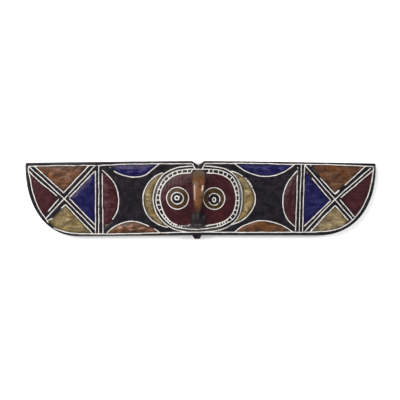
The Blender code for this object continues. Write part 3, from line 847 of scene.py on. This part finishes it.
def rim_rings():
    """Insets and heights of the rings from the front's edge round to the back."""
    rings = []
    for turn in np.radians((67.5, 45.0, 22.5, 0.0)):
        inset, drop = EDGE_ROUND * (1 - math.cos(turn)), EDGE_ROUND * (1 - math.sin(turn))
        rings.append((inset, THICK - drop))
    rings += [(0.0, height) for height in SIDE_RINGS]
    for turn in np.radians((0.0, 45.0, 90.0)):
        rings.append((BACK_ROUND * (1 - math.cos(turn)), BACK_ROUND * (1 - math.sin(turn))))
    return rings


def sheet_quads(number):
    """The faces of a sheet of numbered points, wound as its rows and columns run."""
    corners = number[:-1, :-1], number[:-1, 1:], number[1:, 1:], number[1:, :-1]
    return np.stack(corners, -1).reshape(-1, 4)


def edge_of(number):
    """The outermost points of a sheet, once round."""
    return np.concatenate([number[0], number[1:, -1], number[-1, ::-1][1:], number[::-1, 0][1:-1]])


def side_ring(inset, level):
    """One ring of the rim: the outline drawn in, and on the sides pared by hand."""
    spots = loop_of(*four_sides(inset))
    if SIDE_LOW < level < SIDE_HIGH:
        pared = np.maximum(0, uneven(spots[:, 0], spots[:, 1], SIDE_MARKS))
        spots = spots - spots / np.hypot(*spots.T)[:, None] * pared[:, None]
    return np.column_stack([spots, np.full(len(spots), level)])


def board_mesh():
    """One closed skin: front sheet, rounded rim and side, and the coarser back."""
    sheet, height, near, pale, within = front_sheet()
    number = np.arange(height.size).reshape(sheet.shape[:2])
    points = [np.column_stack([sheet.reshape(-1, 2), height])]
    behind = [np.zeros(height.size)]
    faces = [sheet_quads(number)]
    ring = edge_of(number)
    total = height.size
    for inset, level in rim_rings():
        points.append(side_ring(inset, level))
        behind.append(np.full(len(ring), 1.0 if level < BACK_ROUND else 0.0))
        lower = np.arange(total, total + len(ring))
        faces.append(np.stack([ring, lower, np.roll(lower, -1), np.roll(ring, -1)], -1))
        ring = lower
        total += len(ring)
    back = filled(*(side[::BACK_SHARE] for side in four_sides(BACK_INSET)))
    back_x, back_y = back[..., 0].ravel(), back[..., 1].ravel()
    points.append(np.column_stack([back_x, back_y, hollow(back_x, back_y)]))
    behind.append(np.ones(len(back_x)))
    number = np.arange(total, total + back_x.size).reshape(back.shape[:2])
    faces.append(np.roll(sheet_quads(number)[:, ::-1], 1, axis=1))
    # each step of the back's edge meets four steps of the rim
    inner = edge_of(number)
    following = np.roll(inner, -1)
    outer = ring.reshape(-1, BACK_SHARE)
    last = np.roll(outer[:, 0], -1)
    fans = (
        (outer[:, 0], inner, outer[:, 1]),
        (outer[:, 1], inner, outer[:, 2]),
        (outer[:, 2], inner, following),
        (outer[:, 2], following, outer[:, 3]),
        (outer[:, 3], following, last),
    )
    triangles = [np.stack(fan, -1) for fan in fans]
    whole = np.vstack(points), np.vstack(faces), np.vstack(triangles), np.concatenate(behind)
    return *whole, near, pale, within


def placed(name, data):
    """A new object in the scene."""
    made = bpy.data.objects.new(name, data)
    bpy.context.scene.collection.objects.link(made)
    return made


def skin(name, points, quads, triangles):
    """A smooth piece made of four-sided and three-sided faces."""
    mesh = bpy.data.meshes.new(name)
    mesh.from_pydata(points * MM, [], quads.tolist() + triangles.tolist())
    mesh.validate()
    mesh.shade_smooth()
    return placed(name, mesh)


def give_field(mesh, name, values, elsewhere):
    """A number for each point: the front's own values, and one value for the rest."""
    whole = np.full(len(mesh.vertices), elsewhere, np.float32)
    whole[: len(values)] = values
    field = mesh.attributes.new(name, "FLOAT", "POINT")
    field.data.foreach_set("value", whole)


# Paint and wood

# A mix node's sockets for colours
FIRST_COLOUR = 6
SECOND_COLOUR = 7
MIXED_COLOUR = 2


class Recipe:
    """A material's nodes, added one by one."""

    def __init__(self, name):
        self.material = bpy.data.materials.new(name)
        self.material.use_nodes = True
        self.tree = self.material.node_tree
        self.shader = self.tree.nodes["Principled BSDF"]
        self.place = self.add("TexCoord").outputs["Object"]

    def fill(self, node, sockets):
        """Gives sockets other nodes' outputs, numbers, or colours as red, green and blue."""
        for name, value in sockets.items():
            socket = node.inputs[name]
            if isinstance(value, bpy.types.NodeSocket):
                self.tree.links.new(value, socket)
            elif socket.type == "RGBA":
                socket.default_value = (*value, 1.0)
            else:
                socket.default_value = value

    def add(self, kind, sockets=None, **settings):
        made = self.tree.nodes.new("ShaderNode" + kind)
        for name, value in settings.items():
            setattr(made, name, value)
        self.fill(made, sockets or {})
        return made

    def sum(self, operation, *values):
        return self.add("Math", dict(enumerate(values)), operation=operation).outputs[0]

    def plus(self, first, second):
        return self.sum("ADD", first, second)

    def times(self, first, second):
        return self.sum("MULTIPLY", first, second)

    def scaled(self, value, by, plus):
        """The value times by, plus a number or another value."""
        return self.sum("MULTIPLY_ADD", value, by, plus)

    def about(self, noise, reach):
        """The noise as a length that runs from minus half the reach to plus half of it."""
        return self.scaled(noise, reach, -reach / 2)

    def field(self, name):
        return self.add("Attribute", attribute_name=name).outputs["Fac"]

    def step(self, value, low, high, kind="SMOOTHSTEP"):
        """0 below low and 1 above high."""
        levels = {"Value": value, "From Min": low, "From Max": high}
        return self.add("MapRange", levels, interpolation_type=kind).outputs["Result"]

    def stretched(self, x):
        """Places whose noise is drawn out along the board."""
        sockets = {"Vector": self.place, "Scale": (x, 1, 1)}
        return self.add("Mapping", sockets).outputs["Vector"]

    def noise(self, size, detail=3.0, rough=0.55, place=None):
        """Noise whose grains are about size millimetres."""
        sockets = {"Vector": place or self.place, "Scale": 1 / (size * MM)}
        sockets.update({"Detail": detail, "Roughness": rough})
        return self.add("TexNoise", sockets).outputs["Fac"]

    def mix(self, share, first, second):
        sockets = {"Factor": share, FIRST_COLOUR: first, SECOND_COLOUR: second}
        return self.add("Mix", sockets, data_type="RGBA").outputs[MIXED_COLOUR]


# The black ground laid on thick and thin
BLACK_TONES = ((0.0046, 0.0046, 0.0058), (0.0135, 0.0122, 0.0158))
# Three tones of each paint: laid on thick, laid on thin, and where it turns warm
PAINT_TONES = {
    "maroon": ((0.021, 0.0056, 0.0072), (0.036, 0.0108, 0.0138), (0.034, 0.0078, 0.0094)),
    "brown": ((0.034, 0.0155, 0.0085), (0.094, 0.043, 0.024), (0.1, 0.036, 0.01)),
    "blue": ((0.0034, 0.0032, 0.029), (0.0102, 0.0098, 0.049), (0.0068, 0.0052, 0.046)),
    "ochre": ((0.068, 0.05, 0.025), (0.2, 0.16, 0.094), (0.16, 0.108, 0.036)),
    "olive": ((0.026, 0.0155, 0.007), (0.05, 0.029, 0.016), (0.066, 0.026, 0.0095)),
    "beak": ((0.07, 0.028, 0.01), (0.15, 0.068, 0.034), (0.135, 0.054, 0.018)),
}
# Tone of each paint worn pale on the crest of its panel, which also stands for a painted highlight
# there
WORN_AND_HIGHLIGHT_TONES = {
    "maroon": (0.085, 0.036, 0.038),
    "brown": (0.32, 0.175, 0.118),
    "blue": (0.052, 0.052, 0.135),
    "ochre": (0.31, 0.232, 0.118),
}
# Woods and the brow's wash have two tones, which noise mixes
RAW_WOOD = ((0.545, 0.525, 0.5), (0.43, 0.395, 0.345))
STAINED_WOOD = ((0.115, 0.056, 0.028), (0.046, 0.022, 0.012))
BROW_WASH = ((0.01, 0.0072, 0.0032), (0.052, 0.031, 0.0105))
# Painted shade down the beak's flanks
FLANK_PAINTED_SHADE = (0.016, 0.009, 0.005)
PORES = (0.035, 0.024, 0.012)
GRIME = (0.05, 0.04, 0.02)
LINE_DIRT = (0.005, 0.0045, 0.005)

# Roughness: the least, and what patches and parts of the mask add
LEAST_ROUGH = 0.16
PATCHES_ROUGH = 0.18
MOUTH_ROUGH = 0.09
BEAK_ROUGH = -0.12
BARE_ROUGH = 0.3
SHEEN = 0.18
SHEEN_TINT = (1.0, 0.87, 0.82)
BRUSH_DEEP = 0.4 * MM
BRUSH_STRENGTH = 0.2
BRUSH_OFF_BEAK = 0.75  # share of the brush marks that is polished off the beak


class PaintedWood(Recipe):
    """Brushed paints over black, worn thin in places, and pale wood where lines are cut."""

    def __init__(self):
        super().__init__("painted carved wood")
        self.patches = self.noise(10, detail=4.5, rough=0.62)
        self.brush = self.noise(3.4, detail=5.0, rough=0.62, place=self.stretched(x=0.42))
        self.specks = self.noise(1.1, detail=2.0)
        self.ragged = self.noise(2.4, detail=3.0)
        mottle = self.plus(self.times(self.patches, 0.68), self.times(self.brush, 0.32))
        self.thin = self.step(mottle, 0.38, 0.64)
        self.black = self.mix(self.thin, *BLACK_TONES)
        self.on_beak = self.step(self.field("beak"), -0.5, 0.5)
        self.opened = self.open_wood()
        colour = self.black_and_shaded_edges(self.lay_paints())
        colour = self.dull_ochre(self.wash_and_shade_beak(colour))
        colour = self.stain_back(self.cut_lines(colour))
        self.fill(self.shader, {
            "Base Color": colour,
            "Roughness": self.polish(),
            "Specular IOR Level": SHEEN,
            "Specular Tint": SHEEN_TINT,
            "Normal": self.brush_marks(),
        })

    def lay_paints(self):
        """Each paint over black inside its own panels, thick, thin, warm, or worn pale with a painted
        highlight on its crest.
        """
        warm = self.step(self.noise(38, detail=2.0), 0.42, 0.62)
        streak = self.noise(6.0, detail=4.0, rough=0.6, place=self.stretched(x=0.4))
        # worn paler streaks on each panel's crest, partly a painted highlight
        crest = self.step(self.field("crest"), 0.0, 1.0, "LINEAR")
        rubbed_and_highlit = self.times(crest, self.step(streak, 0.44, 0.7))
        wander = self.about(self.ragged, 1.6)
        colour = self.black
        for paint, (thick, pale, turned) in PAINT_TONES.items():
            cover = self.step(self.plus(self.field(paint), wander), -0.3, 0.5)
            laid = self.mix(warm, self.mix(self.thin, thick, pale), self.mix(self.thin, thick, turned))
            if paint in WORN_AND_HIGHLIGHT_TONES:
                laid = self.mix(rubbed_and_highlit, laid, WORN_AND_HIGHLIGHT_TONES[paint])
            colour = self.mix(cover, colour, laid)
        return colour

    def black_and_shaded_edges(self, colour):
        """Paint stops short of the lines here and there, letting the black ground show, and the low
        edges get painted shade.
        """
        # black ground near each panel's edge, partly painted shade in the low edges
        from_edge = self.plus(self.field("panel"), self.about(self.patches, 9.0))
        return self.mix(self.times(self.step(from_edge, 3.6, 0.2), 0.6), colour, self.black)

    def wash_and_shade_beak(self, colour):
        """Dark wash over the brow, painted shade down the beak's sides, and black over its tip."""
        brow = self.step(self.plus(self.field("brow"), self.about(self.patches, 14.0)), -6.0, 8.0)
        wash = self.mix(self.step(self.ragged, 0.36, 0.62), *BROW_WASH)
        colour = self.mix(self.times(self.times(brow, 0.85), self.on_beak), colour, wash)
        # painted shade down the beak's sides, so they read as turning away
        flank = self.step(self.scaled(self.ragged, 1.6, self.field("beak")), 4.6, 1.0)
        colour = self.mix(self.times(self.times(flank, self.on_beak), 0.7), colour, FLANK_PAINTED_SHADE)
        tip = self.step(self.scaled(self.patches, 8.0, self.field("tip")), -9.0, 18.0)
        return self.mix(tip, colour, self.black)

    def dull_ochre(self, colour):
        """Dark pores that the ochre leaves open, and grime along its edges."""
        ochre = self.field("ochre")
        pores = self.times(self.step(self.specks, 0.52, 0.64), self.step(self.patches, 0.34, 0.58))
        pores = self.times(pores, self.step(ochre, 0.0, 1.0))
        colour = self.mix(self.times(pores, 0.7), colour, PORES)
        from_edge = self.plus(ochre, self.about(self.patches, 16.0))
        grime = self.times(self.step(from_edge, 6.5, 0.5), self.step(ochre, -0.3, 0.5))
        return self.mix(self.times(grime, 0.5), colour, GRIME)

    def open_wood(self):
        """1 where a line shows raw wood; a faint line keeps flecks of paint."""
        self.line_edge = self.plus(self.field("line"), self.about(self.ragged, 0.5))
        flecks = self.noise(2.6, detail=4.0, rough=0.7)
        bare = self.step(self.sum("SUBTRACT", self.field("pale"), flecks), -0.02, 0.16)
        return self.times(self.step(self.line_edge, 1.06, 0.8), bare)

    def cut_lines(self, colour):
        """Raw wood in the lines, and a little dirt beside them."""
        dirt = self.times(self.step(self.line_edge, 2.3, 1.2), 0.4)
        colour = self.mix(dirt, colour, LINE_DIRT)
        grain = self.noise(2.0, detail=4.0, place=self.stretched(x=0.15))
        return self.mix(self.opened, colour, self.mix(self.step(grain, 0.42, 0.75), *RAW_WOOD))

    def stain_back(self, colour):
        """Streaky dark stain behind, where the wood isn't painted."""
        streaks = self.noise(3.0, detail=5.0, place=self.stretched(x=0.12))
        stained = self.mix(self.step(streaks, 0.3, 0.7), *STAINED_WOOD)
        return self.mix(self.field("back"), colour, stained)

    def polish(self):
        """Roughness of the waxed paint: least on the beak, most on bare wood."""
        rough = self.scaled(self.patches, PATCHES_ROUGH, LEAST_ROUGH)
        rough = self.scaled(self.field("mouth"), MOUTH_ROUGH, rough)
        rough = self.scaled(self.on_beak, BEAK_ROUGH, rough)
        bare = self.sum("MAXIMUM", self.opened, self.field("back"))
        return self.scaled(bare, BARE_ROUGH, rough)

    def brush_marks(self):
        """Fine relief of the brush, mostly polished off the beak."""
        relief = self.plus(self.times(self.brush, 0.8), self.times(self.specks, 0.2))
        relief = self.times(relief, self.scaled(self.on_beak, -BRUSH_OFF_BEAK, 1.0))
        sockets = {"Strength": BRUSH_STRENGTH, "Distance": BRUSH_DEEP, "Height": relief}
        return self.add("Bump", sockets).outputs["Normal"]


def make_mask():
    points, quads, triangles, behind, near, pale, within = board_mesh()
    piece = skin("carved_mask", points, quads, triangles)
    mesh = piece.data
    give_field(mesh, "line", near, NO_LINE)
    give_field(mesh, "pale", pale, 1.0)
    for name, values in within.items():
        give_field(mesh, name, values, -FAR)
    give_field(mesh, "back", behind, 0)
    mesh.materials.append(PaintedWood().material)
    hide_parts("mask")
    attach(piece, "root")


# Photograph's view: straight down on the mask, its top edge up

FRAME_WIDE = 0.69616  # width of the picture where the mask's outline lies
OUTLINE_Z = 0.0135
FOCAL_LENGTH = 85.0
SENSOR_WIDE = 36.0
CAMERA_X = -0.00096

SKY = 0.2
# Place, size and power of each lamp; the side lamps' first size runs along the mask's height
LAMPS = {
    "upper left key": ((-1.0, 1.17, 1.58), (1.75, 1.75), 51),
    "left side": ((-2.0, 0.34, 1.5), (1.1, 0.36), 36),
    "right side": ((2.0, 0.42, 1.5), (0.6, 0.36), 34),
    "low fill": ((-0.2, -1.9, 1.2), (1.6, 0.9), 34),
}
FLOOR_SIZE = 8
FLOOR_DROP = 0.0005
PAPER = 0.95


def make_camera():
    data = bpy.data.cameras.new("camera")
    data.lens = FOCAL_LENGTH
    data.sensor_width = SENSOR_WIDE
    camera = placed("camera", data)
    camera.location = (CAMERA_X, 0.0, FRAME_WIDE * FOCAL_LENGTH / SENSOR_WIDE + OUTLINE_Z)
    bpy.context.scene.camera = camera


def softbox(name, place, size, watts):
    """A rectangular lamp that looks at the middle of the mask."""
    data = bpy.data.lights.new(name, "AREA")
    data.shape = "RECTANGLE"
    data.size, data.size_y = size
    data.energy = watts
    lamp = placed(name, data)
    lamp.location = place
    x, y, z = place
    lamp.rotation_euler = (math.atan2(math.hypot(x, y), z), 0, math.atan2(-y, -x) - math.pi / 2)


def make_light():
    world = bpy.data.worlds.new("studio")
    bpy.context.scene.world = world
    world.use_nodes = True
    sky = world.node_tree.nodes["Background"]
    sky.inputs["Color"].default_value = (1, 1, 1, 1)
    sky.inputs["Strength"].default_value = SKY
    for name, (place, size, watts) in LAMPS.items():
        softbox(name, place, size, watts)
    bpy.context.scene.view_settings.view_transform = "Standard"


def make_floor():
    bpy.ops.mesh.primitive_plane_add(size=FLOOR_SIZE)
    floor = bpy.context.object
    floor.name = "floor"
    floor.location.z = -FLOOR_DROP
    material = bpy.data.materials.new("white paper")
    material.use_nodes = True
    shader = material.node_tree.nodes["Principled BSDF"]
    shader.inputs["Base Color"].default_value = (PAPER, PAPER, PAPER, 1)
    shader.inputs["Roughness"].default_value = 0.9
    floor.data.materials.append(material)


make_camera()
make_light()
make_floor()
make_mask()
